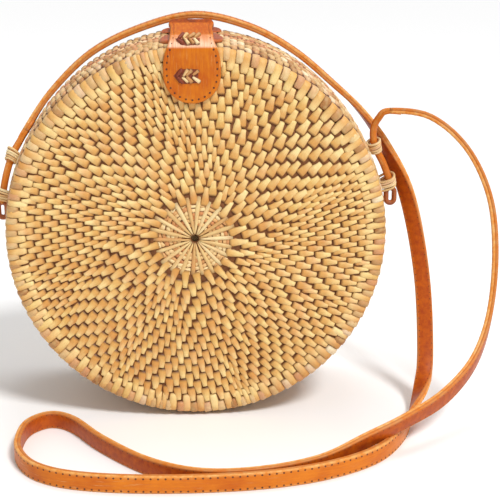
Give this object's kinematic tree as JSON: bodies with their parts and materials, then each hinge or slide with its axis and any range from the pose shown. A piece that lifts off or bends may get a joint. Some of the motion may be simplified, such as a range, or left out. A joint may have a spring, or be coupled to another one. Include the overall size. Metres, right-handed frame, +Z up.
{
  "type": "round shoulder bag",
  "caption": "Round drum-shaped shoulder bag of coiled cane that opens on a bottom hinge, with a leather snap flap and a long leather strap tied to its sides.",
  "frame": {"origin": "on the ground, under the middle of the bag's width and of its depth from the flap's knot to the back face, 1.9 mm in front of the middle of its mouth", "axes": "+Z up, -Y out of the front face with the round leather pad, +X towards the side on which the loose strap leaves the bag"},
  "size_m": [0.2782, 0.1715, 0.2113],
  "materials": {
    "cane": "split cane, satin",
    "binding": "thin cane binding, satin",
    "leather": "smooth tan leather, semi-gloss",
    "backing_leather": "plain leather, matt",
    "lining": "woven cotton, matt",
    "snap": "dull metal"
  },
  "bodies": {
    "back_half": {"back_face": "cane", "back_hub": "cane", "back_side": "cane", "back_rim": "binding", "back_lining": "lining", "hinge_loops": "binding", "snap_patch": "backing_leather", "snap_socket": "snap", "left_upper_tie": "binding", "left_lower_tie": "binding", "right_upper_tie": "binding", "right_lower_tie": "binding", "left_strap_end": "leather", "right_strap_end": "leather", "strap": "leather"},
    "front_half": {"front_face": "cane", "front_hub": "cane", "front_side": "cane", "front_rim": "binding", "front_lining": "lining", "neck_patch": "backing_leather", "flap_pad": "leather", "flap_backing": "backing_leather", "pad_knot": "binding", "neck_knot": "binding"},
    "flap_end": {"flap_tail": "leather", "flap_tail_backing": "backing_leather", "snap_stud": "snap"}
  },
  "joints": [
    {"name": "front_open", "type": "hinge", "parent": "back_half", "child": "front_half", "pos_m": [0, 0.00013, 0.0028], "axis": [1, 0, 0], "range_deg": [0, 25]},
    {"name": "flap_lift", "type": "hinge", "parent": "front_half", "child": "flap_end", "pos_m": [-0.0015, -0.02007, 0.207], "axis": [1, 0, 0], "range_deg": [0, 100]}
  ]
}
